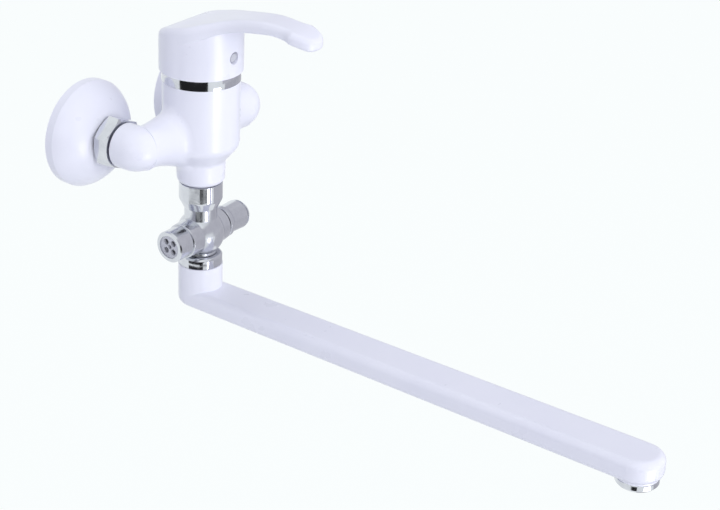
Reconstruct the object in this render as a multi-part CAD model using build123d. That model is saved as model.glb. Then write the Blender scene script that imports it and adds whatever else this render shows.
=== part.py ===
from build123d import *
import os
from math import asin, cos, radians, sin

# A wall mixer tap with a lever, a shower diverter and a long flat swivel spout.
# Millimetres. X runs right along the wall, Y into the wall, Z up.
# The origin is on the wall's face, midway between the two pipe ports.
# Heights named below are counted from the level of the body's arms.

# Driving dimensions
wall_centres = 100.0
union_rise = 6.0
axis_to_wall = 53.5
arm_setback = 9.3
arm_radius = 14.3
arm_end_to_wall = 34.2
barrel_radius = 24.6
barrel_top = 35.2
stem_radius = 15.3
stem_bottom = -34.5
spout_reach = 328.0
diverter_level = -71.0
spout_level = -92.0

# Clearances
running = 0.06
gap = 0.3
seat_play = 0.1

# Lever and cap
cap_radius = 26.5
cap_wall = 1.2
cap_bottom = 42.0
pivot_level = 36.0
stem_lean = 12.0
lever_length = 90.8
dome_radius = 25.0
dome_wall = 1.3
dome_top = 45.0
cavity_radius = 25.9

# Cartridge
cartridge_radius = 20.1
cartridge_floor = 9.0
housing_step = 30.0
nut_thread_radius = 21.9
hub_radius = 13.5
hub_top = 42.0
stem_side = 9.0
pin_radius = 2.5
ball_drop = 12.4

# Threads and bores, as plain radii
half_inch = 10.48
three_quarter_inch = 13.2
water_bore = 6.5

# Outlet
aerator_radius = 12.9
aerator_bottom = -128.5

half_centres = wall_centres / 2
column = Pos(0, -axis_to_wall, union_rise)
across = Rot(0, 90, 0)
to_wall = Rot(-90, 0, 0)


def disc(radius, low, high):
    """A round slab about the upright axis."""
    return Pos(0, 0, low) * Cylinder(radius, high - low, align=(Align.CENTER, Align.CENTER, Align.MIN))


def ring(outer, inner, low, high):
    """A round slab with a round hole."""
    return disc(outer, low, high) - disc(inner, low, high)


def outline(points, rounds=()):
    """A closed outline of straight sides; rounds gives the corners to round and their radii."""
    face = make_face(Polyline(*points, close=True))
    for index, radius in rounds:
        corner = face.vertices().sort_by_distance((*points[index], 0))[0]
        face = fillet(corner, radius)
    return face


def turned(points, rounds=()):
    """Spin an outline of (radius, height) points about the upright axis."""
    return revolve(Plane.XZ * outline(points, rounds), Axis.Z)


def hexagon(across_flats, low, high):
    """A hexagon bar with its corners turned off at both ends."""
    corner = across_flats / 2 / cos(radians(30))
    bar = Pos(0, 0, low) * extrude(RegularPolygon(corner, 6), high - low)
    bevel = corner - across_flats / 2
    envelope = turned([
        (0, low), (across_flats / 2, low), (corner, low + bevel * 0.6),
        (corner, high - bevel * 0.6), (across_flats / 2, high), (0, high),
    ])
    return bar & envelope


def sides(build):
    """The left and right copies of a piece that is built for the left port."""
    left = Pos(-half_centres, 0, 0) * build()
    return left, mirror(left, about=Plane.YZ)


# Wall connection. Along each port the outlines' height is the Y of the tap.
rosette_radius = 34.3
rosette_rim = 5.5
rosette_height = 20.5
rosette_wall = 1.2
rosette_hole = three_quarter_inch + seat_play
wall_thread_length = 14.0
union_face = -27.0
gasket_thickness = 2.0
flange_thickness = 2.0
tail_radius = 9.6
tail_flange = 12.0
tail_thread = 8.5
tail_insert = 8.0
coupling_flats = 30.0
nut_turn = 23.0
coupling_front = -33.0
nut_clearance = 2.1
coupling_back = -rosette_height - nut_clearance


def wall_rosette():
    """A thin pressed dome, its rim on the wall and its hole round the union's thread."""
    shape = Plane.XZ * make_face(
        Polyline((rosette_hole, 0), (rosette_radius, 0), (rosette_radius, -rosette_rim))
        + ThreePointArc((rosette_radius, -rosette_rim), (28.2, -14.3), (18.5, -rosette_height + 0.6))
        + ThreePointArc((18.5, -rosette_height + 0.6), (16.0, -rosette_height), (rosette_hole, -rosette_height))
        + Line((rosette_hole, -rosette_height), (rosette_hole, 0))
    )
    inner_rim = rosette_radius - rosette_wall
    hollow = Plane.XZ * make_face(
        Polyline((rosette_hole + rosette_wall, 0), (inner_rim, 0), (inner_rim, -rosette_rim))
        + ThreePointArc((inner_rim, -rosette_rim), (27.2, -13.4), (18.3, -rosette_height + 0.6 + rosette_wall))
        + Line(
            (18.3, -rosette_height + 0.6 + rosette_wall),
            (rosette_hole + rosette_wall, -rosette_height + rosette_wall),
        )
        + Line((rosette_hole + rosette_wall, -rosette_height + rosette_wall), (rosette_hole + rosette_wall, 0))
    )
    dome = revolve(shape, Axis.Z) - revolve(hollow, Axis.Z)
    skirt = ring(rosette_hole + rosette_wall, rosette_hole, -rosette_height + rosette_wall + 3.0, 0)
    return Pos(0, 0, union_rise) * to_wall * (dome - skirt)


def eccentric_union():
    """A cranked brass fitting: its pipe thread lies below the arm by union_rise."""
    crank = -9.0
    thread = disc(three_quarter_inch, union_face, crank)
    offset = loft([
        Plane.XY.offset(crank) * Circle(three_quarter_inch),
        Plane.XY * Pos(0, union_rise) * Circle(half_inch + 0.4),
    ])
    tail = Pos(0, union_rise, 0) * disc(half_inch, 0, wall_thread_length)
    bore = disc(water_bore, union_face, crank + 5) + Pos(0, union_rise, 0) * disc(water_bore, crank + 3, wall_thread_length)
    return Pos(0, 0, union_rise) * to_wall * (thread + offset + tail - bore)


def union_gasket():
    """A flat fibre ring between the union and the tailpiece."""
    seat = union_face - gasket_thickness
    return Pos(0, 0, union_rise) * to_wall * ring(tail_flange, water_bore + 1, seat, union_face)


def tailpiece():
    """A flanged sleeve screwed into the arm; the coupling nut pulls on its flange."""
    flange_back = union_face - gasket_thickness
    flange_front = flange_back - flange_thickness
    end = -arm_end_to_wall
    sleeve = disc(tail_radius, end, flange_front) + disc(tail_flange, flange_front, flange_back)
    screw = disc(tail_thread, end - tail_insert, end)
    return Pos(0, 0, union_rise) * to_wall * (sleeve + screw - disc(water_bore, end - tail_insert, flange_back))


def coupling_nut():
    """A hexagon nut with an inner shoulder behind the tailpiece's flange."""
    flange_front = union_face - gasket_thickness - flange_thickness
    nut = hexagon(coupling_flats, coupling_front, coupling_back)
    nut -= disc(three_quarter_inch + seat_play, flange_front, coupling_back)
    nut -= disc(tail_radius + gap, coupling_front, flange_front)
    return Pos(0, 0, union_rise) * to_wall * (Rot(0, 0, nut_turn) * nut)


# Body casting
shoulder_level = -8.5
stem_neck_level = -19.0
neck_radius = 11.2
outlet_thread = 10.4
outlet_face = -44.0
outlet_bore = 7.5
nut_counterbore = 1.5
arm_bore = 7.0
port_offset = 9.0
port_radius = 3.6
mix_offset = -7.0
mix_radius = 4.5
arm_root_radius = 8.0
arm_bend = 3.0
arm_flare = [(36.0, 0.3, 0.6), (24.0, 2.0, 4.0), (0.0, 4.0, 10.0)]
arm_end_round = 0.5
arm_end = axis_to_wall - arm_end_to_wall
arm_back = arm_end - 0.6


def barrel():
    """The round barrel, its shoulder and the bottom stem, spun as one outline."""
    points = [
        (0, barrel_top), (barrel_radius, barrel_top), (barrel_radius, shoulder_level),
        (stem_radius + 0.6, stem_neck_level), (stem_radius, stem_bottom), (neck_radius, stem_bottom),
        (neck_radius, stem_bottom - nut_counterbore), (outlet_thread, stem_bottom - nut_counterbore),
        (outlet_thread, outlet_face), (0, outlet_face),
    ]
    return Rot(0, 0, 90) * turned(points, [(1, 0.6), (2, 9.0), (3, 5.0), (4, 3.6)])


def arm_section(x, depth, height):
    """An oval cut through the cross arm at x; its back stays behind the elbows' end faces."""
    return Plane.YZ.offset(x) * Pos(arm_back - depth, 0) * Ellipse(depth, height)


def elbow():
    """The left quarter bend from the cross arm to the wall, and its straight end."""
    centre = (arm_bend - half_centres, arm_setback + arm_bend)
    half = Pos(arm_bend, 0) * Circle(arm_radius) & Pos(2 * arm_radius, 0) * Rectangle(4 * arm_radius, 4 * arm_radius)
    bend = revolve(Rot(0, 0, 180) * Plane.XZ * half, Axis.Z, 90)
    end = Pos(-half_centres, 0, 0) * to_wall * disc(arm_radius, centre[1], arm_end)
    return Pos(*centre, 0) * bend + end


def arms():
    """The cross arm, flaring towards the barrel, and its two elbows. arm_flare gives x, extra depth, extra height."""
    depth = (arm_radius + arm_back - arm_setback) / 2
    bend_start = half_centres - arm_bend
    solid = elbow() + mirror(elbow(), about=Plane.YZ)
    for side in (-1, 1):
        sections = [arm_section(side * bend_start, depth, arm_radius - 0.05)]
        for x, deeper, higher in arm_flare:
            sections.append(arm_section(side * x, depth + deeper, arm_radius + higher))
        solid += loft(sections)
    return solid


def arm_waterway(side):
    """The bore of one arm, its tapped mouth and the port up to the cartridge."""
    out = Pos(0, arm_setback, 0) * across * disc(arm_bore, port_offset - port_radius - 1, half_centres)
    if side < 0:
        out = mirror(out, about=Plane.YZ)
    mouth = Pos(side * half_centres, 0, 0) * to_wall * (
        disc(arm_bore, arm_setback, arm_end)
        + disc(tail_thread + seat_play / 2, arm_end - tail_insert - gap, arm_end)
    )
    port = Pos(side * port_offset, arm_setback, 0) * disc(port_radius, 0, cartridge_floor)
    return out + Pos(side * half_centres, arm_setback, 0) * Sphere(arm_bore) + mouth + port


def mixer_body():
    """The casting: barrel, arms with a soft root, and every waterway."""
    solid = barrel() + arms()
    roots = [edge for edge in solid.edges() if edge.geom_type == GeomType.BSPLINE and abs(edge.center().X) < 30]
    solid = fillet(roots, arm_root_radius)
    ends = [
        edge for edge in solid.edges()
        if edge.geom_type == GeomType.CIRCLE and abs(edge.center().Y - arm_end) < 0.01 and edge.radius > arm_radius - 1
    ]
    solid = fillet(ends, arm_end_round)
    bores = disc(cartridge_radius + 0.2, cartridge_floor, housing_step)
    bores += disc(nut_thread_radius + seat_play, housing_step, barrel_top)
    bores += Pos(0, mix_offset, 0) * disc(mix_radius, -14, cartridge_floor)
    bores += disc(outlet_bore, outlet_face, -12)
    bores += arm_waterway(-1) + arm_waterway(1)
    return column * (solid - bores)


# Cartridge
base_bottom = cartridge_floor + 0.4
disc_level = 13.0
fixed_disc_height = 3.5
moving_disc_height = 3.5
driver_height = 4.5
seal_height = 2.0
seal_radius = 5.4
lip_underside = 28.3
disc_chamber = 17.8
hub_flange = 17.2
hub_flange_height = 3.0
ball_radius = 3.2
driver_radius = 13.0
rib_thickness = 2.2
lip_radius = 17.4
ring_nut_radius = 20.5
ring_nut_top = 38.5
ring_nut_slot_width = 3.5

moving_disc_level = disc_level + fixed_disc_height
driver_level = moving_disc_level + moving_disc_height
driver_top = driver_level + driver_height
disc_shift = ball_drop * sin(radians(stem_lean))


def ports():
    """The three waterways through the cartridge's base and fixed disc."""
    return [(-port_offset, arm_setback), (port_offset, arm_setback), (0, mix_offset)]


def cartridge_base():
    """The base plate that locates the fixed disc and holds the three seals."""
    plate = disc(cartridge_radius, base_bottom, disc_level)
    for x, y in ports():
        plate -= Pos(x, y) * disc(seal_radius + seat_play, base_bottom, cartridge_floor + seal_height)
        plate -= Pos(x, y) * disc(port_radius, base_bottom, disc_level)
    return column * plate


def cartridge_seals():
    """Three rubber rings between the base plate and the body's floor."""
    one = ring(seal_radius, port_radius + 0.4, cartridge_floor, cartridge_floor + seal_height)
    return column * Compound(children=[Pos(x, y) * one for x, y in ports()])


def fixed_disc():
    """The lower ceramic disc, keyed to the base."""
    plate = disc(15.5, disc_level, moving_disc_level)
    for x, y in ports():
        plate -= Pos(x, y) * disc(port_radius, disc_level, moving_disc_level)
    return column * plate


def moving_disc():
    """The upper ceramic disc, with the hollow that joins the ports."""
    top = driver_level
    plate = disc(14.2, moving_disc_level, top)
    hollow = Pos(0, 1.0, 0) * disc(8.0, moving_disc_level, moving_disc_level + 2.0)
    return column * Pos(0, disc_shift, 0) * (plate - hollow)


def disc_driver():
    """The slide that the stem's ball pushes; its flats run between the hub's ribs."""
    block = disc(driver_radius, driver_level, driver_top)
    flats = Pos(0, 0, driver_level) * Box(
        2 * driver_radius - 1.6, 3 * driver_radius, 2 * driver_height, align=(Align.CENTER, Align.CENTER, Align.MIN)
    )
    socket = disc(ball_radius + gap, driver_level, driver_top)
    return column * Pos(0, disc_shift, 0) * (block & flats - socket)


def cartridge_housing():
    """The plastic can round the discs, with a lip over the hub's flange."""
    can = disc(cartridge_radius, disc_level, housing_step) + disc(lip_radius, housing_step, pivot_level)
    can -= disc(disc_chamber, disc_level, lip_underside)
    can -= disc(hub_radius + gap, lip_underside, pivot_level)
    return column * can


def stem_hub():
    """The turning hub: a flange, a slotted post for the stem and two ribs that guide the driver."""
    flange_low = lip_underside - gap - hub_flange_height
    post = disc(hub_flange, flange_low, flange_low + hub_flange_height)
    post += disc(hub_radius, flange_low, hub_top)
    for side in (-1, 1):
        rib_centre = side * (driver_radius - 0.8 + gap + rib_thickness / 2)
        post += Pos(rib_centre, 0, driver_level + 1.0) * Box(
            rib_thickness, 10, flange_low - driver_level - 1.0, align=(Align.CENTER, Align.CENTER, Align.MIN)
        )
    slot = Pos(0, 0, flange_low) * Box(
        stem_side + 2 * gap, 14.4, hub_top, align=(Align.CENTER, Align.CENTER, Align.MIN)
    )
    pin_hole = Pos(0, 0, pivot_level) * across * disc(pin_radius + 0.02, -hub_radius, hub_radius)
    return column * (chamfer(post.edges().group_by(Axis.Z)[-1], 0.8) - slot - pin_hole)


def stem_pin():
    """The steel pin that the lever tilts on."""
    return column * Pos(0, 0, pivot_level) * across * disc(pin_radius, -hub_radius + 0.7, hub_radius - 0.7)


def cartridge_nut():
    """The brass ring nut that clamps the housing; the cover ring snaps on its top."""
    nut = disc(nut_thread_radius, housing_step, barrel_top) + disc(ring_nut_radius, barrel_top, ring_nut_top)
    nut -= disc(lip_radius + gap, housing_step, ring_nut_top)
    for turn in range(4):
        slot = Pos(ring_nut_radius - 0.5, 0, ring_nut_top) * Box(8, ring_nut_slot_width, 3.0)
        nut -= Rot(0, 0, 45 + 90 * turn) * slot
    return column * nut


def cover_ring():
    """The chrome ring: a band of a ball about the lever's pivot, so that the cap clears it."""
    ball = Pos(0, 0, pivot_level) * (Sphere(dome_radius) - Sphere(dome_radius - dome_wall))
    band = ball & disc(dome_radius + 1, barrel_top, dome_top)
    foot = (Pos(0, 0, pivot_level) * Sphere(dome_radius - dome_wall / 2)) & ring(30, ring_nut_radius + 0.1, barrel_top, barrel_top + 2.2)
    return column * (band + foot)


# Lever. Its own frame leans forward with the stem about the pivot.
stem_frame = Pos(0, 0, pivot_level) * Rot(stem_lean, 0, 0)
stem_top = 28.5
screw_height = 23.5
screw_radius = 3.0
screw_length = 10.0
plug_recess = 3.9
plug_floor = 19.0
plug_height = 2.7


def lever_stem():
    """The square stem above the pin and the ball below it."""
    bar = Pos(0, 0, -4.5) * Box(stem_side, stem_side, stem_top + 4.5, align=(Align.CENTER, Align.CENTER, Align.MIN))
    neck = Pos(0, 0, -ball_drop) * Cone(2.4, 4.2, ball_drop - 4.5, align=(Align.CENTER, Align.CENTER, Align.MIN))
    ball = Pos(0, 0, -ball_drop) * Sphere(ball_radius)
    hole = across * disc(pin_radius + running, -stem_side, stem_side)
    return column * stem_frame * (chamfer(bar.edges().group_by(Axis.Z)[-1], 0.8) + neck + ball - hole)


lever_top = [(-27.2, 55.0), (-24.8, 61.4), (-18.7, 67.0), (-12, 70.4), (-4, 72.6), (4, 74.6), (14, 77.8), (30, 82.6),
             (45, 85.8), (lever_length - 32.8, 87.2), (lever_length - 20.8, 86.8), (lever_length - 11.8, 85.7),
             (lever_length - 4.8, 83.8), (lever_length + 0.5, 81.75)]
lever_under = [(lever_length + 0.5, 74.86), (lever_length - 2.8, 75.0), (lever_length - 6.8, 76.3),
               (lever_length - 13.8, 78.2), (lever_length - 20.8, 79.3), (lever_length - 27.8, 79.9),
               (lever_length - 34.8, 79.4), (43, 77.6), (33, 75.6), (25, 73.0), (17, 69.2), (8, 64.8), (0, 61.2), (-13, 55.0), (-27.2, 44.0)]
lever_plan = [(cap_radius - 0.1, 0.0), (25.7, 8.0), (22.4, 16.0), (17.2, 26.0), (13.0, 40.0),
              (11.2, lever_length - 32.8), (10.8, lever_length - 16.8), (9.4, lever_length - 5.8)]
lever_top_round = 4.0
lever_under_round = 2.0
crease_depth = 3.6


def lever_side_view(curve_points, drop=0.0):
    """A spline through (reach, height) points, reach being counted forward from the column."""
    return Spline(*[(-reach, height - drop) for reach, height in curve_points])


def lever_blade():
    """The lever: its side view, pushed across, cut to its plan and rounded all round."""
    top = lever_side_view(lever_top)
    under = lever_side_view(lever_under)
    face = make_face(top + Line(top @ 1, under @ 0) + under + Line(under @ 1, top @ 0))
    slab = extrude(Plane.YZ * face, 30, both=True)
    right = Spline(*[(x, -reach) for x, reach in lever_plan], tangents=[(0, -1), (-0.45, -1)])
    tip = Spline(right @ 1, (0, -lever_length), (-(right @ 1).X, (right @ 1).Y), tangents=[(-0.45, -1), (-0.45, 1)])
    left = mirror(right, about=Plane.YZ)
    back = ThreePointArc(right @ 0, (0, (right @ 0).X), (-(right @ 0).X, 0))
    plan = extrude(make_face(right + tip + left + back), 100)
    blade = slab & plan
    upper_face = blade.faces().sort_by_distance((0, -40, 120))[0]
    blade = fillet(upper_face.outer_wire().edges(), lever_top_round)
    lower_face = blade.faces().sort_by_distance((0, -52, 70))[0]
    return fillet(lower_face.outer_wire().edges(), lever_under_round)


def cap_shell():
    """The round cap under the lever, cut off just below the lever's top."""
    crown = lever_side_view(lever_top, crease_depth)
    below = make_face(
        crown
        + Polyline(crown @ 1, (-(lever_length + 0.5), cap_bottom - 10), (27.2, cap_bottom - 10), crown @ 0)
    )
    return disc(cap_radius, cap_bottom, 90) & extrude(Plane.YZ * below, 30, both=True)


def lever_handle():
    """Cap and lever as one casting, with a ball-shaped hollow, the stem's socket and the screw's hole."""
    solid = lever_blade() + cap_shell()
    hollow = Pos(0, 0, pivot_level) * Sphere(cavity_radius) & disc(cap_radius - cap_wall, cap_bottom - 8, 90)
    solid -= hollow
    boss = stem_frame * disc(8.2, 17.0, stem_top + 2)
    rib = stem_frame * Pos(0, 0, screw_height) * Rot(90, 0, 0) * disc(5.0, 0, 21.0)
    solid += boss + rib
    socket = stem_frame * Pos(0, 0, 16.0) * Box(
        stem_side + 2 * seat_play, stem_side + 2 * seat_play, stem_top + 0.5 - 16.0,
        align=(Align.CENTER, Align.CENTER, Align.MIN),
    )
    screw_hole = stem_frame * Pos(0, 0, screw_height) * Rot(90, 0, 0) * (
        disc(screw_radius + 0.05, 0, plug_floor) + disc(plug_recess, plug_floor, 30)
    )
    return column * (solid - socket - screw_hole)


def handle_screw():
    """The socket set screw that holds the handle on its stem."""
    start = stem_side / 2 + seat_play
    screw = disc(screw_radius, start, start + screw_length)
    key = Pos(0, 0, start + screw_length - 3.0) * extrude(RegularPolygon(1.5, 6, major_radius=False), 3.0)
    return column * stem_frame * Pos(0, 0, screw_height) * Rot(90, 0, 0) * (screw - key)


def index_plug():
    """The small blank plug in the screw's hole."""
    plug = disc(plug_recess - 0.05, plug_floor, plug_floor + 1.0)
    plug += disc(plug_recess - 1.0, plug_floor + 1.0, plug_floor + plug_height)
    plug = fillet(plug.edges().group_by(Axis.Z)[-1], 0.5)
    return column * stem_frame * Pos(0, 0, screw_height) * Rot(90, 0, 0) * plug


# Diverter
collar_radius = 14.1
collar_bottom = -52.0
collar_shoulder = -49.3
diverter_gasket_height = 1.6
diverter_tube = 8.8
diverter_neck = 10.6
retaining_ring_height = 1.7
retaining_ring_level = collar_shoulder + retaining_ring_height
centre_radius = 15.5
belly_radius = 13.0
shower_end = -31.0
shower_collar = -19.0
shoulder_radius = 11.3
right_face = 17.0
right_radius = 11.4
lower_neck = 10.4
lower_neck_end = -84.3
spigot_radius = 9.0
spigot_end = -105.0
core_radius = 8.0
core_left = -9.7
core_right = 12.0
gland_seat = core_right + 0.5
spindle_radius = 4.0
spindle_end = 34.0
gland_thread = 9.2
gland_head = 7.6
gland_height = 2.4
knob_start = 18.2
knob_end = 40.0
knob_radius = 9.8
knob_skirt = 10.8
skirt_end = 21.4
groove_start = 36.2
groove_end = 37.6
groove_depth = 0.9
insert_radius = 7.55
core_wire = 0.7
core_o_ring = core_radius + 0.02 - core_wire
core_o_ring_place = 9.6
spindle_o_ring = spindle_radius + 0.02 - core_wire
spindle_o_ring_place = 15.5


def diverter_nut():
    """The chrome collar nut: screwed on the body's outlet, it pulls on the retaining ring."""
    points = [
        (0, stem_bottom), (collar_radius, stem_bottom), (collar_radius, stem_bottom - 11.5),
        (11.2, collar_bottom), (0, collar_bottom),
    ]
    nut = turned(points, [(1, 0.5), (2, 3.0), (3, 0.4)])
    nut -= disc(neck_radius + 0.2, stem_bottom - nut_counterbore, stem_bottom)
    nut -= disc(outlet_thread + seat_play, collar_shoulder, stem_bottom)
    nut -= disc(diverter_tube + 0.2, collar_bottom, collar_shoulder)
    return column * nut


def diverter_gasket():
    """The flat ring under the body's outlet."""
    return column * ring(outlet_thread - 0.1, outlet_bore + 0.2, outlet_face - diverter_gasket_height, outlet_face)


def retaining_ring():
    """The split ring in the diverter tube's groove."""
    level = retaining_ring_level
    hoop = ring(outlet_thread, diverter_tube - 0.8, level - retaining_ring_height, level)
    split = Pos(0, 9, level) * Box(2.0, 6, 6)
    return column * (hoop - split)


def diverter_body():
    """The chrome cross: tube up into the collar, ball centre, shower outlet left, valve arm right."""
    tube_top = outlet_face - diverter_gasket_height
    solid = disc(diverter_tube, collar_bottom - 1, tube_top) + disc(diverter_neck, diverter_level, collar_bottom - 0.2)
    solid += Pos(0, 0, diverter_level) * Sphere(centre_radius)
    solid += disc(lower_neck, lower_neck_end, diverter_level) + disc(spigot_radius, spigot_end, lower_neck_end)
    arms = turned([
        (0, shower_end), (half_inch - 0.8, shower_end), (half_inch, shower_end + 0.8), (half_inch, shower_collar),
        (shoulder_radius, shower_collar), (belly_radius, 0), (right_radius, right_face), (0, right_face),
    ], [(4, 0.6), (6, 0.6)])
    solid += Pos(0, 0, diverter_level) * across * arms
    groove = ring(20, diverter_tube - 0.9, retaining_ring_level - retaining_ring_height - 0.05, retaining_ring_level + 0.05)
    solid -= groove
    solid -= ring(20, slip_groove, slip_level - slip_height - 0.05, slip_level + 0.05)
    for level in o_ring_levels:
        solid -= ring(20, spigot_o_ring - o_ring_wire - 0.05, level - o_ring_wire - 0.1, level + o_ring_wire + 0.1)
    solid -= disc(water_bore - 0.2, diverter_level, tube_top)
    solid -= disc(water_bore - 0.4, spigot_end, diverter_level)
    chamber = disc(core_radius + running, core_left - gap, gland_seat) + disc(gland_thread, gland_seat, right_face)
    chamber += disc(insert_radius + 0.05, shower_end, core_left - 2.3)
    chamber += Pos(-4.0, 0, 0) * disc(3.0, core_left - 2.3, core_left)
    solid -= Pos(0, 0, diverter_level) * across * chamber
    return column * solid


def diverter_core():
    """The valve plug and its spindle: windows above, below and behind, an eye in the end wall."""
    plug = disc(core_radius, core_left, core_right) - disc(core_radius - 1.8, core_left + 1.7, 7.0)
    plug += disc(spindle_radius, core_right, spindle_end)
    plug -= Pos(0, 0, -1.0) * Box(2 * core_radius + 2, 9, 10)
    plug -= Pos(0, core_radius, -1.0) * Box(9, core_radius, 10)
    plug -= Pos(0, 4.0, 0) * disc(3.0, core_left, core_left + 1.7)
    plug -= ring(20, core_o_ring - core_wire - 0.03, core_o_ring_place - core_wire - 0.1, core_o_ring_place + core_wire + 0.1)
    plug -= ring(20, spindle_o_ring - core_wire - 0.03, spindle_o_ring_place - core_wire - 0.1,
                 spindle_o_ring_place + core_wire + 0.1)
    plug -= disc(1.25, spindle_end - 8, spindle_end)
    return column * Pos(0, 0, diverter_level) * across * plug


def diverter_o_rings():
    """The seals on the core and on its spindle."""
    seals = [
        Pos(0, 0, core_o_ring_place) * Torus(core_o_ring, core_wire),
        Pos(0, 0, spindle_o_ring_place) * Torus(spindle_o_ring, core_wire),
    ]
    return column * Pos(0, 0, diverter_level) * across * Compound(children=seals)


def diverter_gland():
    """The threaded bush that keeps the core in and guides its spindle."""
    bush = disc(gland_thread - 0.05, gland_seat, right_face) + disc(gland_head, right_face, right_face + gland_height)
    for side in (-1, 1):
        bush -= Pos(side * (gland_head + 1.2), 0, right_face + 5) * Box(4, 20, 10)
    bush -= disc(spindle_radius + running, core_right, right_face + gland_height)
    return column * Pos(0, 0, diverter_level) * across * bush


def diverter_knob():
    """The smooth turning knob: a skirt over the gland, a waist behind it, and a groove near its outer rim."""
    points = [
        (0, knob_start), (knob_skirt, knob_start), (knob_skirt, skirt_end), (knob_radius - 0.5, skirt_end + 2),
        (knob_radius, groove_start), (knob_radius - groove_depth, groove_start),
        (knob_radius - groove_depth, groove_end), (knob_radius - 0.2, groove_end), (knob_radius - 1.8, knob_end), (0, knob_end),
    ]
    knob = turned(points, [(1, 0.6), (2, 0.6), (3, 1.5), (4, 0.3), (7, 0.3), (8, 0.5)])
    knob -= disc(gland_head + 0.6, knob_start, right_face + gland_height + 0.6)
    knob -= disc(spindle_radius + 0.02, knob_start, spindle_end + 0.2)
    knob -= disc(1.6, spindle_end, knob_end) + disc(3.6, spindle_end + 2.2, knob_end)
    return column * Pos(0, 0, diverter_level) * across * knob


def knob_screw():
    """The screw in the knob's end."""
    head_level = spindle_end + 2.2
    screw = disc(3.0, head_level, head_level + 1.8) + disc(1.2, spindle_end - 7, head_level)
    slot = Pos(0, 0, head_level + 1.8) * Box(0.8, 8, 1.6)
    return column * Pos(0, 0, diverter_level) * across * (screw - slot)


# Check valve in the shower outlet
valve_face = -30.2
valve_back = -16.0
grid_thickness = 2.0
eye_radius = 2.05
eye_circle = 4.1
poppet_radius = 5.2
poppet_thickness = 2.0
poppet_stem = 1.4
poppet_travel = 2.5
seat_radius = 4.3
valve_bore = 6.2
spring_wire = 0.3
spring_radius = 2.6


def check_valve_cage():
    """The pushed-in insert: a seat at the back and a face with four eyes."""
    cage = disc(insert_radius, valve_face, valve_back)
    cage -= disc(valve_bore, valve_face + grid_thickness, valve_back - 2.0)
    cage -= disc(seat_radius, valve_back - 2.0, valve_back)
    for turn in range(4):
        cage -= Rot(0, 0, 45 + 90 * turn) * Pos(eye_circle, 0) * disc(eye_radius, valve_face, valve_face + grid_thickness)
    cage -= disc(poppet_stem + 0.1, valve_face, valve_face + grid_thickness)
    return column * Pos(0, 0, diverter_level) * across * cage


def check_valve_poppet():
    """The valve's disc and its guide stem."""
    seat = valve_back - 2.0
    poppet = disc(poppet_radius, seat - poppet_thickness, seat)
    poppet += disc(poppet_stem, valve_face + poppet_travel + 0.2, seat - poppet_thickness)
    return column * Pos(0, 0, diverter_level) * across * poppet


def check_valve_spring():
    """The coil that closes the poppet."""
    low = valve_face + grid_thickness + spring_wire
    high = valve_back - 2.0 - poppet_thickness - spring_wire
    turns = 4
    path = Helix((high - low) / turns, high - low, spring_radius)
    coil = sweep(Plane(path @ 0, z_dir=path % 0) * Circle(spring_wire), path)
    return column * Pos(0, 0, diverter_level) * across * Pos(0, 0, low) * coil


# Spout
spout_root_half = 14.3
spout_tip_half = 15.3
spout_top = -107.8
spout_root_height = 13.0
spout_tip_height = 15.2
spout_wall = 1.5
spout_edge = 5.0
upstand_radius = 14.4
upstand_bore = spigot_radius + 0.1
nut_neck = 12.2
slip_level = -87.3
slip_height = 1.6
slip_groove = 7.9
slip_outer = 11.8
o_ring_wire = 0.95
spigot_o_ring = 8.1
o_ring_levels = (-96.0, -101.0)
spout_nut_top = lower_neck_end - gap
socket_radius = 11.0
socket_top = -113.5
outlet_boss_radius = 12.6
outlet_way_radius = 8.0
below_all = -140.0


def flat_tube(inset):
    """The flat body of the spout, tapered in plan and in depth, its long edges rounded."""
    rear = spout_root_half - inset
    front = spout_tip_half - inset
    lean = asin((spout_tip_half - spout_root_half) / spout_reach)
    rear_x = rear * cos(lean)
    rear_y = rear * sin(lean)
    front_x = front * cos(lean)
    front_y = -spout_reach + front * sin(lean)
    plan = make_face(
        Line((rear_x, rear_y), (front_x, front_y))
        + ThreePointArc((front_x, front_y), (0, -spout_reach - front), (-front_x, front_y))
        + Line((-front_x, front_y), (-rear_x, rear_y))
        + ThreePointArc((-rear_x, rear_y), (0, rear), (rear_x, rear_y))
    )
    top = spout_top - inset
    slab = Plane.YZ * make_face(Polyline(
        (20, top), (20, spout_top - spout_root_height + inset),
        (-spout_reach - 20, spout_top - spout_tip_height + inset), (-spout_reach - 20, top), close=True,
    ))
    tube = extrude(plan, -200) & extrude(slab, 30, both=True)
    rims = [edge for edge in tube.edges() if abs(edge.tangent_at(0.5).Z) < 0.2]
    return fillet(rims, spout_edge - inset)


def spout_tube():
    """The white spout: flat tube, round upstand with its threaded neck, and the outlet's socket."""
    mid = spout_top - spout_root_height + spout_edge
    solid = flat_tube(0) + disc(upstand_radius, mid, spout_level)
    solid += disc(nut_neck, spout_level - 1, slip_level - slip_height - gap)
    outlet = Pos(0, -spout_reach, 0)
    solid += outlet * disc(outlet_boss_radius, spout_top - spout_tip_height - 0.6, spout_top - 6)
    solid -= flat_tube(spout_wall) - outlet * disc(outlet_boss_radius, below_all, socket_top)
    solid -= disc(upstand_bore, spout_top - spout_root_height + spout_wall + 1, slip_level)
    solid -= outlet * disc(socket_radius, below_all, socket_top - 2)
    solid -= outlet * disc(outlet_way_radius, below_all, socket_top + 3)
    return column * solid


def spout_nut():
    """The round chrome nut: it screws on the spout's neck and hangs on the slip ring."""
    points = [
        (0, spout_nut_top), (11.4, spout_nut_top), (13.9, spout_nut_top - 2.6), (14.1, spout_level + 0.8),
        (13.6, spout_level), (0, spout_level),
    ]
    nut = turned(points, [(1, 1.0), (2, 2.0)])
    nut -= disc(nut_neck + seat_play, spout_level, slip_level + gap)
    nut -= disc(spigot_radius + gap, slip_level, spout_nut_top)
    return column * nut


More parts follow.
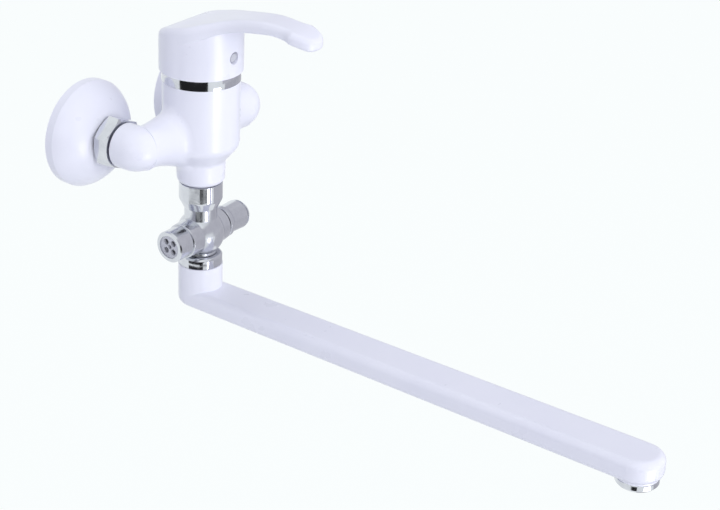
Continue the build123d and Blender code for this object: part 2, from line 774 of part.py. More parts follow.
def spout_slip_ring():
    """The split plastic ring that carries the spout."""
    hoop = ring(slip_outer, slip_groove + 0.1, slip_level - slip_height, slip_level)
    return column * (hoop - Pos(0, 10, slip_level) * Box(1.6, 8, 6))


def spigot_o_rings():
    """The two seals between spigot and spout."""
    return column * Compound(children=[Pos(0, 0, level) * Torus(spigot_o_ring, o_ring_wire) for level in o_ring_levels])


# Aerator
aerator_top = spout_top - spout_tip_height - 0.6
aerator_bore = 9.8
insert_shelf = -126.9


def at_outlet(shape):
    """Move a piece from the column to the outlet's axis."""
    return column * Pos(0, -spout_reach, 0) * shape


def aerator_housing():
    """The chrome ring: threaded spigot up into the socket, a collar and a lip that holds the insert."""
    points = [
        (0, aerator_top), (aerator_radius - 0.4, aerator_top), (aerator_radius, aerator_top - 0.4),
        (aerator_radius, aerator_bottom + 1.6), (aerator_radius - 1.6, aerator_bottom), (0, aerator_bottom),
    ]
    shell = turned(points, [(3, 0.6)]) + disc(socket_radius - 0.05, aerator_top, socket_top - 3.5)
    shell -= disc(aerator_bore, insert_shelf, socket_top)
    shell -= disc(aerator_bore - 1.2, aerator_bottom, insert_shelf)
    return at_outlet(shell)


def aerator_washer():
    """The rubber ring on top of the housing."""
    return at_outlet(ring(socket_radius - 0.1, aerator_bore - 1.6, socket_top - 3.5, socket_top - 2.0))


def aerator_insert():
    """The plastic insert with its ring of jet slots."""
    body = disc(aerator_bore - 0.05, insert_shelf, socket_top - 3.5)
    for turn in range(12):
        body -= Rot(0, 0, 30 * turn) * Pos(6.6, 0) * disc(0.9, insert_shelf, socket_top - 3.5)
    body -= disc(4.2, insert_shelf, insert_shelf + 3.0)
    return at_outlet(body)


def aerator_mesh():
    """The steel screen in the mouth, a plate with square holes."""
    level = insert_shelf - 0.6
    plate = disc(aerator_bore - 1.25, level, insert_shelf)
    pitch = 2.4
    for column_index in range(-3, 4):
        for row_index in range(-3, 4):
            if (column_index**2 + row_index**2) * pitch**2 < 56:
                plate -= Pos(column_index * pitch, row_index * pitch, level) * Box(1.6, 1.6, 4)
    return at_outlet(plate)


def write(name, shape):
    """Save one node."""
    export_step(shape, f"parts/{name}.step")


def main():
    """Build and save every node."""
    os.makedirs("parts", exist_ok=True)
    for name, build in (
        ("wall_rosette", wall_rosette), ("eccentric_union", eccentric_union), ("union_gasket", union_gasket),
        ("tailpiece", tailpiece), ("coupling_nut", coupling_nut),
    ):
        left, right = sides(build)
        write(f"{name}_left", left)
        write(f"{name}_right", right)
    for build in (
        mixer_body, cartridge_base, cartridge_seals, fixed_disc, moving_disc, disc_driver, cartridge_housing,
        stem_hub, stem_pin, cartridge_nut, cover_ring, lever_stem, lever_handle, handle_screw, index_plug,
        diverter_nut, diverter_gasket, retaining_ring, diverter_body, diverter_core, diverter_o_rings,
        diverter_gland, diverter_knob, knob_screw, check_valve_cage, check_valve_poppet, check_valve_spring,
        spout_tube, spout_nut, spout_slip_ring, spigot_o_rings, aerator_housing, aerator_washer,
        aerator_insert, aerator_mesh,
    ):
        write(build.__name__, build())


main()
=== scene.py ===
# %% [markdown]
# Wall mixer tap, white enamel and chrome. The shapes come from the imported model, because they have real
# sizes and joints. This lesson dresses them: it sets the camera and the studio, gives every piece a
# finish, models a few fine pieces again (the spout's nut, the pipe threads and the aerator's screen) and
# puts in a plain copy of the check valve's spring. Everything is in metres.

# %% Load the imported model
import math

import bmesh
import bpy
from mathutils import Matrix, Quaternion, Vector


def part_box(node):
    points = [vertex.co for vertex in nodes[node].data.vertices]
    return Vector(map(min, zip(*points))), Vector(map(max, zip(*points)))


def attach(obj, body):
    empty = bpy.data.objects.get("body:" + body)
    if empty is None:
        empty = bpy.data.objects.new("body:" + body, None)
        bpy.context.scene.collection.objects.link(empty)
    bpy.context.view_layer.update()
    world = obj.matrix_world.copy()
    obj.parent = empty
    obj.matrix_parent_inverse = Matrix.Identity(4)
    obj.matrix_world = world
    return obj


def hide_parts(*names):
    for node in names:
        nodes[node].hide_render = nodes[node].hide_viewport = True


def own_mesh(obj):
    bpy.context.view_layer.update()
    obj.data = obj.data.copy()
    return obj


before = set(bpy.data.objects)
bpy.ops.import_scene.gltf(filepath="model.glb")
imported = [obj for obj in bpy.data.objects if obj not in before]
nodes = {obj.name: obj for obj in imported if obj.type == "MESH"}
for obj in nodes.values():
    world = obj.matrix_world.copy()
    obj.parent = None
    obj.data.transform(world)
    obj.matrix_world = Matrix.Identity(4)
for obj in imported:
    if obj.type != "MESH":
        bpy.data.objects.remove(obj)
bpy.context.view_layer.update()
scene = bpy.context.scene
millimetre = 0.001

# %% [markdown]
# The camera. The photograph's round outlines (rosette, cap, barrel, spout nut, aerator) fix where it stood:
# low on the tap's left, a little over a metre away, with a long lens and a slight tilt of the horizon.

# %% Camera at the photograph's viewing angle
frame_width_px = 720
focal_length_px = 2050.7
camera_place = Vector((-0.9149, -0.8301, 0.5012))
camera_target = Vector((0.0334, -0.1565, -0.0613))
camera_roll = math.radians(2.38)

lens = bpy.data.cameras.new("studio_camera")
lens.sensor_width = 36.0
lens.lens = focal_length_px * lens.sensor_width / frame_width_px
lens.clip_start = 0.05
lens.clip_end = 60.0
camera = bpy.data.objects.new("studio_camera", lens)
scene.collection.objects.link(camera)
camera.location = camera_place
looking = (camera_target - camera_place).to_track_quat("-Z", "Y")
camera.rotation_mode = "QUATERNION"
camera.rotation_quaternion = looking @ Quaternion((0, 0, 1), camera_roll)
scene.camera = camera
scene.view_settings.view_transform = "Standard"
print("lens", round(lens.lens, 1), "mm")

# %% [markdown]
# Shader maths. A finish is a small sum of noises and ramps, and sums read best as sums, so one class
# wraps a socket and lets Python's own + and * add the Math nodes. A second class holds the material and
# adds any other node.

# %% Sockets that can be added and multiplied


class Wire:
    """One output of a node tree, with arithmetic."""

    def __init__(self, tree, socket):
        self.tree = tree
        self.socket = socket

    def maths(self, operation, other):
        node = self.tree.nodes.new("ShaderNodeMath")
        node.operation = operation
        for place, term in enumerate((self, other)):
            connect(self.tree, node.inputs[place], term)
        return Wire(self.tree, node.outputs[0])

    def __add__(self, other):
        return self.maths("ADD", other)

    def __mul__(self, other):
        return self.maths("MULTIPLY", other)

    __radd__ = __add__
    __rmul__ = __mul__


def connect(tree, socket, value):
    """Puts a wire or a plain value on a socket."""
    if isinstance(value, Wire):
        tree.links.new(value.socket, socket)
    else:
        socket.default_value = value


class Finish:
    """A material with one main shader, and one method that adds any node."""

    def __init__(self, name, **surface):
        self.material = bpy.data.materials.new(name)
        self.material.use_nodes = True
        self.tree = self.material.node_tree
        self.shader = self.tree.nodes["Principled BSDF"]
        self.set(**surface)

    def set(self, **values):
        for socket_name, value in values.items():
            connect(self.tree, self.shader.inputs[socket_name.replace("_", " ")], value)

    def add(self, kind, output=0, settings=None, **values):
        node = self.tree.nodes.new("ShaderNode" + kind)
        for name, value in (settings or {}).items():
            setattr(node, name, value)
        for socket_name, value in values.items():
            connect(self.tree, node.inputs[socket_name.replace("_", " ")], value)
        return Wire(self.tree, node.outputs[output])

    def place(self):
        """Where a point is on the object, in metres."""
        return self.add("TexCoord", "Object")

    def noise(self, scale, detail=2.0, roughness=0.5, where=None):
        where = where or self.place()
        return self.add("TexNoise", "Fac", Vector=where, Scale=scale, Detail=detail, Roughness=roughness)

    def ramp(self, value, low, high, start=0.0, end=1.0):
        """The value stretched so that start gives low and end gives high, and no further."""
        return self.add("MapRange", From_Min=start, From_Max=end, To_Min=low, To_Max=high, Value=value)

    def blend(self, share, first, second):
        """A colour between two others."""
        mixed = self.add("Mix", output=2, settings={"data_type": "RGBA"})
        for place, value in ((0, share), (6, first), (7, second)):
            connect(self.tree, mixed.socket.node.inputs[place], value)
        return mixed

    def bump(self, height, depth, strength=1.0):
        """Turns a height from 0 to 1 into dents of that depth in metres."""
        self.set(Normal=self.add("Bump", Height=height, Distance=depth, Strength=strength))


print("shader tools ready")

# %% [markdown]
# White enamel. The body, the lever, the spout and the rosettes are sprayed and baked: a deep gloss with
# the faint ripple that sprayed enamel dries with, called orange peel, and here and there a speck of dust
# under the gloss. The ripple is a bump far too shallow to see as dents; it only makes the reflections
# swim a little.

# %% Enamel finish
enamel_colour = (0.83, 0.84, 0.925, 1)
enamel_shade = (0.79, 0.80, 0.90, 1)


def make_enamel():
    finish = Finish("white_enamel", IOR=1.48, Coat_Weight=0.2, Coat_Roughness=0.12)
    clouds = finish.noise(24.0, 3.0)
    specks = finish.add("TexVoronoi", "Distance", Vector=finish.place(), Scale=160.0)
    speck = finish.ramp(specks, 1.0, 0.0, 0.02, 0.06)
    tone = finish.ramp(clouds, 0.0, 0.55, 0.35, 0.7) + speck * 0.08
    finish.set(Base_Color=finish.blend(tone, enamel_colour, enamel_shade))
    finish.set(Roughness=finish.ramp(finish.noise(60.0, 4.0), 0.24, 0.34))
    peel = finish.noise(520.0, 2.0) * 0.6 + finish.noise(140.0, 1.0) * 0.4 + speck * 0.15
    finish.bump(peel, 0.00006, 0.5)
    return finish.material


enamel = make_enamel()
print("made", enamel.name)

# %% [markdown]
# Chrome plate. Polished brass with nickel and chrome over it is a mirror, but a buffing wheel leaves it
# wavy and hands leave it smudged, so the roughness wanders between a mirror and a light haze and a wide
# shallow bump bends the reflections. The diverter's body and knob take a hazier version, because the
# photograph shows them greyer. The tailpieces and the gland are coloured near-black. This is painted
# shade that makes the narrow gaps around them look deep and shadowed.

# %% Chrome, and near-black metal as painted shade in the gaps
chrome_colour = (0.70, 0.715, 0.76, 1)
chrome_dull = (0.60, 0.61, 0.66, 1)


def make_chrome(name, gloss, haze):
    finish = Finish(name, Metallic=1.0)
    smudge = finish.ramp(finish.noise(70.0, 4.0, 0.6), 0.0, 1.0, 0.4, 0.75)
    finish.set(Base_Color=finish.blend(smudge, chrome_colour, chrome_dull))
    hairlines = finish.noise(2600.0, 1.0)
    finish.set(Roughness=finish.ramp(smudge, gloss, haze) + finish.ramp(hairlines, 0.0, 0.03))
    finish.bump(finish.noise(95.0, 2.0), 0.0002, 0.35)
    return finish.material


# A metal coloured near-black as painted shade, so the gaps at the tailpieces and the gland look deep.
def make_gap_shade_metal():
    finish = Finish("gap_shade_metal", Metallic=1.0)
    bloom = finish.ramp(finish.noise(180.0, 4.0), 0.0, 1.0, 0.35, 0.75)
    finish.set(Base_Color=finish.blend(bloom, (0.06, 0.06, 0.075, 1), (0.11, 0.11, 0.13, 1)))
    finish.set(Roughness=finish.ramp(bloom, 0.3, 0.5))
    finish.bump(finish.noise(900.0, 2.0), 0.00003, 0.4)
    return finish.material


chrome = make_chrome("bright_chrome", 0.05, 0.12)
soft_chrome = make_chrome("soft_chrome", 0.17, 0.26)
gap_shade_metal = make_gap_shade_metal()
print("made", chrome.name, soft_chrome.name, gap_shade_metal.name)

# %% [markdown]
# The turned metals. Brass fittings and steel screws come off a lathe, so fine rings run round their axis.
# Each piece turns about its own axis, so the finish takes that axis, and measures the distance along it
# for the rings.

# %% Turned brass and turned steel


def make_turned(name, colour, dark, axis, roughness):
    finish = Finish(name, Metallic=1.0)
    apart = finish.add("SeparateXYZ", "XYZ".index(axis), Vector=finish.place())
    along = finish.add("CombineXYZ", X=apart)
    rings = finish.noise(5200.0, 2.0, 0.7, along)
    stain = finish.ramp(finish.noise(120.0, 4.0), 0.0, 1.0, 0.45, 0.8)
    finish.set(Base_Color=finish.blend(stain, colour, dark))
    finish.set(Roughness=finish.ramp(rings, roughness - 0.08, roughness + 0.1) + stain * 0.12)
    finish.bump(rings, 0.00005, 0.5)
    return finish.material


brass_colour = (0.76, 0.60, 0.31, 1)
brass_dark = (0.50, 0.36, 0.17, 1)
steel_colour = (0.62, 0.62, 0.63, 1)
steel_dark = (0.42, 0.42, 0.44, 1)
nickel_to_wall = make_turned("turned_nickel_y", (0.68, 0.67, 0.66, 1), (0.50, 0.49, 0.47, 1), "Y", 0.24)
brass_across = make_turned("turned_brass_x", brass_colour, brass_dark, "X", 0.26)
brass_upright = make_turned("turned_brass_z", brass_colour, brass_dark, "Z", 0.26)
steel_across = make_turned("turned_steel_x", steel_colour, steel_dark, "X", 0.28)
steel_upright = make_turned("turned_steel_z", steel_colour, steel_dark, "Z", 0.28)
steel_to_wall = make_turned("turned_steel_y", steel_colour, steel_dark, "Y", 0.28)
print("made six turned metals")

# %% [markdown]
# Rubber, plastic and ceramic. Rubber rings are matt with a bloom of fine dust. Moulded plastic has a
# fine, even spark-eroded grain. The cartridge's ceramic discs are lapped flat, and only a fine speckle
# shows in them.

# %% Rubber, plastic and ceramic


def make_rubber():
    finish = Finish("black_rubber")
    bloom = finish.ramp(finish.noise(240.0, 5.0, 0.65), 0.0, 1.0, 0.4, 0.75)
    finish.set(Base_Color=finish.blend(bloom, (0.018, 0.018, 0.02, 1), (0.055, 0.055, 0.058, 1)))
    finish.set(Roughness=finish.ramp(bloom, 0.5, 0.75))
    finish.bump(finish.noise(1900.0, 2.0), 0.00004, 0.6)
    return finish.material


def make_plastic(name, colour, shade, roughness):
    finish = Finish(name, IOR=1.47)
    cloud = finish.ramp(finish.noise(55.0, 3.0), 0.0, 1.0, 0.35, 0.75)
    finish.set(Base_Color=finish.blend(cloud, colour, shade))
    grain = finish.noise(3000.0, 2.0)
    finish.set(Roughness=finish.ramp(grain, roughness - 0.06, roughness + 0.08))
    finish.bump(grain, 0.00003, 0.5)
    return finish.material


def make_ceramic():
    finish = Finish("lapped_ceramic", IOR=1.75)
    speckle = finish.ramp(finish.noise(1400.0, 3.0), 0.0, 1.0, 0.55, 0.75)
    finish.set(Base_Color=finish.blend(speckle, (0.88, 0.86, 0.81, 1), (0.74, 0.71, 0.65, 1)))
    finish.set(Roughness=finish.ramp(finish.noise(300.0), 0.1, 0.2))
    return finish.material


rubber = make_rubber()
white_plastic = make_plastic("white_plastic", (0.84, 0.84, 0.81, 1), (0.76, 0.76, 0.73, 1), 0.42)
grey_plastic = make_plastic("grey_plastic", (0.60, 0.61, 0.66, 1), (0.52, 0.53, 0.58, 1), 0.3)
ceramic = make_ceramic()
print("made rubber, plastics and ceramic")

# %% [markdown]
# Each piece gets its finish by name. The brass and steel pieces take the version whose rings run round
# their own axis.

# %% Finishes on the carried-over pieces
finish_of = {
    enamel: ["wall_rosette_left", "wall_rosette_right", "mixer_body", "lever_handle", "spout_tube"],
    # Painted shade: these pieces are coloured near-black so that the gaps beside them look shadowed.
    gap_shade_metal: ["tailpiece_left", "tailpiece_right", "diverter_gland"],
    chrome: [
        "coupling_nut_left", "coupling_nut_right", "cover_ring", "diverter_nut", "spout_nut",
        "aerator_housing",
    ],
    soft_chrome: ["diverter_body", "diverter_knob"],
    nickel_to_wall: ["eccentric_union_left", "eccentric_union_right"],
    brass_across: ["diverter_core"],
    brass_upright: ["cartridge_nut", "lever_stem"],
    steel_across: ["stem_pin", "knob_screw", "check_valve_spring"],
    steel_upright: ["retaining_ring", "aerator_mesh"],
    steel_to_wall: ["handle_screw"],
    rubber: [
        "union_gasket_left", "union_gasket_right", "cartridge_seals", "diverter_gasket", "diverter_o_rings",
        "spigot_o_rings", "aerator_washer",
    ],
    white_plastic: ["cartridge_base", "disc_driver", "cartridge_housing", "stem_hub", "spout_slip_ring"],
    grey_plastic: ["index_plug", "check_valve_cage", "check_valve_poppet", "aerator_insert"],
    ceramic: ["fixed_disc", "moving_disc"],
}
for material, names in finish_of.items():
    for name in names:
        nodes[name].data.materials.clear()
        nodes[name].data.materials.append(material)
print("finished", sum(len(names) for names in finish_of.values()), "pieces")

# %% [markdown]
# The spout's nut. On the real tap it is a plain turned collar: an upright wall, a small rounded shoulder
# and a flat top with the spigot coming out of it. A lathe makes it by spinning one outline, and so does
# this: a few vertices joined by edges are spun all the way round, the seam is merged, and the shoulder's
# corners are bevelled.

# %% A lathe, and the nut under the diverter
column_axis = Vector((0, -0.0535, 0))
lathe_steps = 96


def lathe(outline, axis_place):
    """Spins a closed outline of (radius, height) points, in millimetres, about an upright axis."""
    shape = bmesh.new()
    points = [
        shape.verts.new((radius * millimetre, 0, height * millimetre)) for radius, height in outline
    ]
    for here, there in zip(points, points[1:] + points[:1]):
        shape.edges.new((here, there))
    bmesh.ops.spin(
        shape, geom=shape.verts[:] + shape.edges[:], cent=(0, 0, 0), axis=(0, 0, 1),
        angle=math.tau, steps=lathe_steps, use_merge=True,
    )
    bmesh.ops.remove_doubles(shape, verts=shape.verts, dist=1e-7)
    bmesh.ops.recalc_face_normals(shape, faces=shape.faces)
    bmesh.ops.translate(shape, verts=shape.verts, vec=axis_place)
    return shape


def round_edges(shape, width, segments, chosen):
    """Bevels the edges that chosen picks by their two end points."""
    picked = [edge for edge in shape.edges if chosen(edge.verts[0].co, edge.verts[1].co)]
    bmesh.ops.bevel(
        shape, geom=picked, offset=width * millimetre, segments=segments, profile=0.5, affect="EDGES",
        material=-1,
    )


def to_object(name, shape, material):
    """A finished bmesh becomes an object that sits at the origin."""
    mesh = bpy.data.meshes.new(name)
    shape.to_mesh(mesh)
    shape.free()
    mesh.materials.append(material)
    made = bpy.data.objects.new(name, mesh)
    scene.collection.objects.link(made)
    return made


def shade_smooth(piece, angle=30):
    """Smooth shading that keeps edges sharper than the angle."""
    for face in piece.data.polygons:
        face.use_smooth = True
    piece.data.set_sharp_from_angle(angle=math.radians(angle))


nut_radius = 14.1
nut_bore = 9.3
nut_thread_radius = 12.3
nut_thread_depth = 4.6
nut_foot_bevel = 0.4
nut_shoulder_drop = 1.5
nut_shoulder_radius = 12.9
nut_brow_drop = 0.35
nut_top_radius = 11.9
nut_rounding = 0.25


def nut_of_spout():
    low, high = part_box("spout_nut")
    bottom = low[2] / millimetre
    top = high[2] / millimetre
    shape = lathe([
        (nut_bore, bottom + nut_thread_depth),
        (nut_thread_radius, bottom + nut_thread_depth),
        (nut_thread_radius, bottom),
        (nut_radius - nut_foot_bevel, bottom),
        (nut_radius, bottom + nut_foot_bevel),
        (nut_radius, top - nut_shoulder_drop),
        (nut_shoulder_radius, top - nut_brow_drop),
        (nut_top_radius, top),
        (nut_bore, top),
    ], column_axis)
    shoulder_level = (top - nut_shoulder_drop - 0.1) * millimetre

    def on_shoulder(here, there):
        ends_level = abs(here.z - there.z) < 1e-6
        return ends_level and here.z > shoulder_level

    round_edges(shape, nut_rounding, 3, on_shoulder)
    piece = to_object("spout_nut_turned", shape, chrome)
    shade_smooth(piece)
    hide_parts("spout_nut")
    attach(piece, "spout")
    print("nut", len(piece.data.polygons), "faces, from", round(bottom, 1), "to", round(top, 1), "mm")


nut_of_spout()

# %% [markdown]
# The pipe threads. Each union screws into the wall with a half-inch pipe thread: a V-shaped ridge that
# winds round the tail with a pitch of 1.81 mm. The tail of the carried-over union is as thick as the
# thread's crest, so a copy of it is thinned to the thread's root, and the ridge is a four-sided section
# spun with a step along the axis.

# %% Threaded unions
thread_pitch = 1.814
thread_crest = 10.48
thread_root = 9.32
thread_start = 1.6
thread_turns = 6
steps_per_turn = 40
ridge_root_share = 0.46
ridge_crest_share = 0.09
ridge_overlap = 0.1
port_offset = 0.05
wall_clearance = 0.0002
tail_inside = 0.010


def ridge(axis_place):
    """A winding ridge along Y about the axis place."""
    shape = bmesh.new()
    half_root = thread_pitch * ridge_root_share
    half_crest = thread_pitch * ridge_crest_share
    foot = thread_root - ridge_overlap
    section = [(foot, -half_root), (thread_crest, -half_crest), (thread_crest, half_crest), (foot, half_root)]
    corners = [
        shape.verts.new((radius * millimetre, (thread_start + along) * millimetre, 0))
        for radius, along in section
    ]
    face = shape.faces.new(corners)
    bmesh.ops.spin(
        shape, geom=corners + face.edges[:], cent=(0, 0, 0), axis=(0, 1, 0),
        dvec=(0, thread_pitch / steps_per_turn * millimetre, 0),
        angle=math.tau * thread_turns, steps=steps_per_turn * thread_turns,
    )
    open_ends = [edge for edge in shape.edges if edge.is_boundary]
    bmesh.ops.holes_fill(shape, edges=open_ends, sides=4)
    bmesh.ops.recalc_face_normals(shape, faces=shape.faces)
    bmesh.ops.translate(shape, verts=shape.verts, vec=axis_place)
    return shape


def threaded_union(side, sign):
    """A copy of the union with a cut thread on its wall tail."""
    name = "eccentric_union_" + side
    tail_axis = Vector((sign * port_offset, 0, 0))
    shape = bmesh.new()
    shape.from_mesh(nodes[name].data)
    bmesh.ops.remove_doubles(shape, verts=shape.verts, dist=1e-6)
    tail = [
        vert for vert in shape.verts
        if vert.co.y > wall_clearance and (vert.co - tail_axis).xz.length > tail_inside
    ]
    thin = thread_root / thread_crest
    bmesh.ops.scale(shape, vec=(thin, 1, thin), space=Matrix.Translation(-tail_axis), verts=tail)
    thread = bpy.data.meshes.new("thread")
    wound = ridge(tail_axis)
    wound.to_mesh(thread)
    wound.free()
    shape.from_mesh(thread)
    bpy.data.meshes.remove(thread)
    piece = to_object("union_threaded_" + side, shape, nickel_to_wall)
    shade_smooth(piece)
    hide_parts(name)
    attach(piece, "tap")
    print("union", side, "has", len(tail), "tail corners moved,", len(piece.data.polygons), "faces")


threaded_union("left", -1)
threaded_union("right", 1)

# %% [markdown]
# The check valve's spring shortens when its poppet lifts: its outer end stays on the cage and its inner end
# goes with the poppet. Here a copy of the spring, with its doubled corners merged, replaces the carried-over
# one and keeps its shape.


def spring_of_check_valve():
    shape = bmesh.new()
    shape.from_mesh(nodes["check_valve_spring"].data)
    bmesh.ops.remove_doubles(shape, verts=shape.verts, dist=1e-6)
    piece = to_object("check_valve_coil", shape, steel_across)
    shade_smooth(piece)
    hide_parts("check_valve_spring")
    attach(piece, "tap")
    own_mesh(piece)


spring_of_check_valve()

# %% [markdown]
# The aerator's screen. Inside the outlet's mouth sits a disc of woven steel wire. A flat plate with holes
# looks false from close up, because real wires go over and under each other. So each wire is a small ring
# of six corners pushed along in steps that rise and fall, and every second wire rises where its neighbour
# falls.

# %% Woven screen
screen_pitch = 1.15
wire_radius = 0.17
wire_sides = 6


def woven_wire(shape, across, start, rising, along_x):
    """One wire from start to as far past the middle, rising and falling once for every two crossings."""
    length = -2 * start
    steps = max(2, round(length / screen_pitch) * 2)
    reach = length / steps
    turn = Matrix.Rotation(math.radians(90), 3, "Y" if along_x else "X")
    ring = bmesh.ops.create_circle(shape, cap_ends=True, segments=wire_sides, radius=wire_radius * millimetre)
    made = ring["verts"]
    bmesh.ops.rotate(shape, verts=made, cent=(0, 0, 0), matrix=turn)

    def at(step):
        height = rising * wire_radius * math.cos(math.pi * (start + step * reach) / screen_pitch)
        place = (start + step * reach, across) if along_x else (across, start + step * reach)
        return Vector((place[0], place[1], height)) * millimetre

    bmesh.ops.translate(shape, verts=made, vec=at(0))
    front = [face for face in made[0].link_faces]
    for step in range(1, steps + 1):
        pushed = bmesh.ops.extrude_face_region(shape, geom=front)["geom"]
        corners = [item for item in pushed if isinstance(item, bmesh.types.BMVert)]
        if step > 1:
            bmesh.ops.delete(shape, geom=front, context="FACES_ONLY")
        front = [item for item in pushed if isinstance(item, bmesh.types.BMFace)]
        bmesh.ops.translate(shape, verts=corners, vec=at(step) - at(step - 1))


def woven_screen():
    low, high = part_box("aerator_mesh")
    radius = (high[0] - low[0]) / 2 / millimetre
    centre = (low + high) / 2
    shape = bmesh.new()
    wires = 0
    count = int(radius / screen_pitch)
    for number in range(-count, count + 1):
        across = number * screen_pitch
        half = math.sqrt(max(radius**2 - across**2, 0)) - wire_radius
        if half < screen_pitch:
            continue
        rising = 1 if number % 2 else -1
        woven_wire(shape, across, -half, rising, True)
        woven_wire(shape, across, -half, -rising, False)
        wires += 2
    bmesh.ops.recalc_face_normals(shape, faces=shape.faces)
    bmesh.ops.translate(shape, verts=shape.verts, vec=centre)
    piece = to_object("aerator_screen_woven", shape, steel_upright)
    shade_smooth(piece, 50)
    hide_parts("aerator_mesh")
    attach(piece, "spout")
    print("screen of", wires, "wires,", len(piece.data.polygons), "faces")


woven_screen()

# %% [markdown]
# The studio. The photograph is a plain catalogue picture in even light on white. Four large soft boxes
# stand in front of the tap and to its sides and a small one above and behind it. Their strengths were
# fitted to this photograph's shading, so they suit this view best. They don't show in reflections, where
# they would make spots that the photograph doesn't have. The surround and the floor are white only where
# the camera, metal or glass looks; what the surround sheds on the tap is a weaker, slightly blue fill.

# %% Surround, floor and lights
surround_white = (0.965, 1.0, 1.0, 1)
fill_colour = (0.80, 0.82, 0.93, 1)
fill_strength = 0.58
floor_level = -0.42
floor_size = 6.0
floor_whitening = 0.96


def straight_or_mirrored(tree):
    """One where the camera, metal or glass looks, and nothing where light is only shed."""
    path = tree.nodes.new("ShaderNodeLightPath")
    straight = Wire(tree, path.outputs["Is Camera Ray"])
    mirrored = Wire(tree, path.outputs["Is Glossy Ray"])
    through = Wire(tree, path.outputs["Is Transmission Ray"])
    return straight.maths("MAXIMUM", mirrored).maths("MAXIMUM", through)


def make_surround():
    world = bpy.data.worlds.new("studio_surround")
    scene.world = world
    world.use_nodes = True
    tree = world.node_tree
    tree.nodes.clear()
    seen = straight_or_mirrored(tree)
    fill = tree.nodes.new("ShaderNodeBackground")
    fill.inputs["Color"].default_value = fill_colour
    fill.inputs["Strength"].default_value = fill_strength
    white = tree.nodes.new("ShaderNodeBackground")
    white.inputs["Color"].default_value = surround_white
    mix = tree.nodes.new("ShaderNodeMixShader")
    connect(tree, mix.inputs[0], seen)
    tree.links.new(fill.outputs[0], mix.inputs[1])
    tree.links.new(white.outputs[0], mix.inputs[2])
    out = tree.nodes.new("ShaderNodeOutputWorld")
    tree.links.new(mix.outputs[0], out.inputs[0])


def make_floor():
    shape = bmesh.new()
    bmesh.ops.create_grid(shape, x_segments=1, y_segments=1, size=floor_size / 2)
    bmesh.ops.translate(shape, verts=shape.verts, vec=(0, -1.0, floor_level))
    finish = Finish("studio_floor", Roughness=0.9, Base_Color=(0.72, 0.73, 0.76, 1))
    tree = finish.tree
    white = tree.nodes.new("ShaderNodeEmission")
    white.inputs["Color"].default_value = surround_white
    mix = tree.nodes.new("ShaderNodeMixShader")
    connect(tree, mix.inputs[0], straight_or_mirrored(tree) * floor_whitening)
    tree.links.new(finish.shader.outputs[0], mix.inputs[1])
    tree.links.new(white.outputs[0], mix.inputs[2])
    out = tree.nodes["Material Output"]
    tree.links.new(mix.outputs[0], out.inputs["Surface"])
    floor = to_object("studio_floor", shape, finish.material)


make_surround()
make_floor()
tap_middle = Vector((0, -0.12, -0.03))


def around(azimuth, elevation, distance):
    """A place round the tap. Azimuth 0 is straight in front of it, 90 on its right."""
    level = math.cos(math.radians(elevation)) * distance
    turn = math.radians(azimuth)
    height = math.sin(math.radians(elevation)) * distance
    return tap_middle + Vector((level * math.sin(turn), -level * math.cos(turn), height))


def soft_box(name, azimuth, elevation, power, size=1.8, distance=4.2):
    """A square lamp that points at the tap and that no reflection shows."""
    lamp = bpy.data.lights.new(name, "AREA")
    lamp.shape = "RECTANGLE"
    lamp.size = size
    lamp.size_y = size
    lamp.energy = power
    box = bpy.data.objects.new(name, lamp)
    scene.collection.objects.link(box)
    box.location = around(azimuth, elevation, distance)
    box.rotation_mode = "QUATERNION"
    box.rotation_quaternion = (tap_middle - box.location).to_track_quat("-Z", "Y")
    box.visible_glossy = False


soft_box("front_box", -15, 22, 53.0)
soft_box("key_box", 22, 24, 20.0)
soft_box("left_box", -60, 15, 38.0)
soft_box("right_box", 60, 15, 40.0)
soft_box("top_box", 170, 62, 4.0, size=0.8, distance=1.3)
print("studio ready")

# %% [markdown]
# Chrome shows nothing but the room. The photograph's chrome is mid grey along the cross tubes, which face
# the right of the room, and has a black upright stripe on each upright wall, which looks down at the
# floor before the camera. So grey screens stand on the right and behind the camera, and black cloths lie
# on the floor at the distances that the nuts and the ring mirror, with a bright one beside them for the
# highlight. The cards were placed for this camera, and other views show other stripes. Only reflections
# see them.

# %% Room cards for the chrome
cloth_black = 0.02
screen_grey = 0.55
screen_pale = 0.6
cloth_bright = 5.2
card_blueness = 1.08
card_steps = 24
cloth_height = 0.004


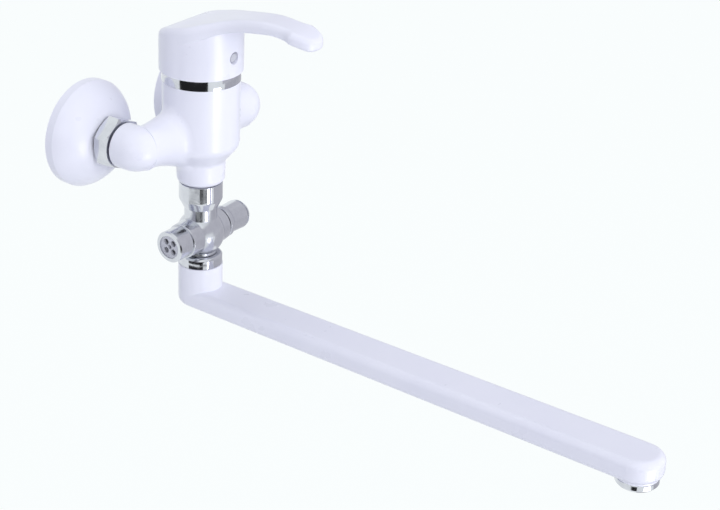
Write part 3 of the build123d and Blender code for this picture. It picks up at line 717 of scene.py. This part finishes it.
def room_card(name, shape, grey):
    """Makes a glowing card of a bmesh. Only reflections see it."""
    material = bpy.data.materials.new(name)
    material.use_nodes = True
    tree = material.node_tree
    tree.nodes.clear()
    card = tree.nodes.new("ShaderNodeEmission")
    card.inputs["Color"].default_value = (grey, grey, grey * card_blueness, 1)
    out = tree.nodes.new("ShaderNodeOutputMaterial")
    tree.links.new(card.outputs[0], out.inputs["Surface"])
    card_object = to_object(name, shape, material)
    card_object.visible_camera = False
    card_object.visible_diffuse = False
    card_object.visible_shadow = False


def swept_card(name, first, last, left, right, grey):
    """A card between two azimuths: the line from first to last, spun about the tap's column."""
    shape = bmesh.new()
    ends = [shape.verts.new((0, -distance, level)) for distance, level in (first, last)]
    line = shape.edges.new(ends)
    bmesh.ops.translate(shape, verts=shape.verts, vec=column_axis)
    to_left = Matrix.Rotation(math.radians(left), 3, "Z")
    bmesh.ops.rotate(shape, verts=shape.verts, cent=column_axis, matrix=to_left)
    bmesh.ops.spin(
        shape, geom=ends + [line], cent=column_axis, axis=(0, 0, 1), angle=math.radians(right - left),
        steps=card_steps,
    )
    room_card(name, shape, grey)


def upright_card(name, left, right, low, high, distance, grey):
    """A curved screen between two azimuths."""
    swept_card(name, (distance, low), (distance, high), left, right, grey)


def floor_card(name, left, right, near, far, grey):
    """A cloth on the floor between two azimuths."""
    level = floor_level + cloth_height
    swept_card(name, (near, level), (far, level), left, right, grey)


upright_card("room_behind_camera", -113, -20, 0.25, 2.6, 3.4, screen_grey)
upright_card("room_front", -24, 14, 0.35, 3.0, 2.7, screen_pale)
upright_card("room_right", 12, 130, -0.41, 3.4, 2.6, screen_pale)
floor_card("floor_right", 20, 110, 0.3, 2.6, screen_grey)
floor_card("floor_bright", -14, 8, 0.6, 1.5, cloth_bright)
floor_card("floor_black_neck", -114, -36, 0.60, 0.815, cloth_black)
floor_card("floor_black_collar", -55, -15, 0.84, 0.902, cloth_black)
floor_card("floor_black_nut", -114, -38, 0.904, 1.05, cloth_black)
floor_card("floor_black_ring", -113, -31, 1.052, 3.4, cloth_black)
upright_card("room_dark_foot", -113, -31, -0.42, 0.25, 3.4, cloth_black)
print("room cards ready")
